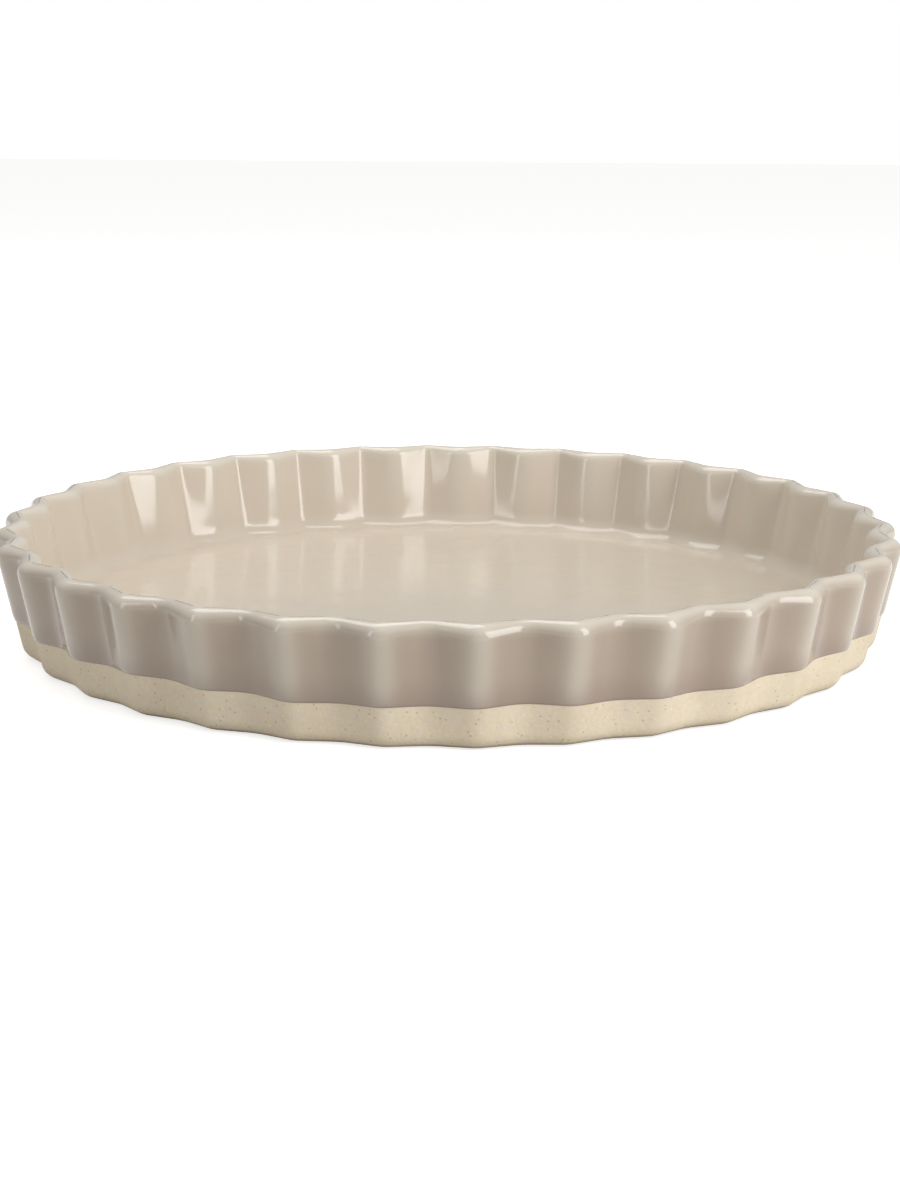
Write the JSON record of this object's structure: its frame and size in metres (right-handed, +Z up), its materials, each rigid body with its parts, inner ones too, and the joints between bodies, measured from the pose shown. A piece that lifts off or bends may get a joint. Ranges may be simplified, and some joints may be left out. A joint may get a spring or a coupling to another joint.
{
  "type": "fluted quiche dish",
  "caption": "Round shallow baking dish with a fluted, outward-leaning wall, rounded lip and flat floor, glazed inside and part way down the outside over a bare stoneware foot.",
  "frame": {"origin": "on the dish's axis, at the level of the flat foot that it stands on", "axes": "+Z up along the dish's axis, towards the mouth; +X through the middle of one crest of the fluted wall"},
  "size_m": [0.2796, 0.2786, 0.035],
  "materials": {
    "bare_stoneware": "matte, fine-grained",
    "glaze": "glossy"
  },
  "bodies": {
    "root": {"stoneware_body": "bare_stoneware", "glaze_coat": "glaze"}
  },
  "joints": []
}
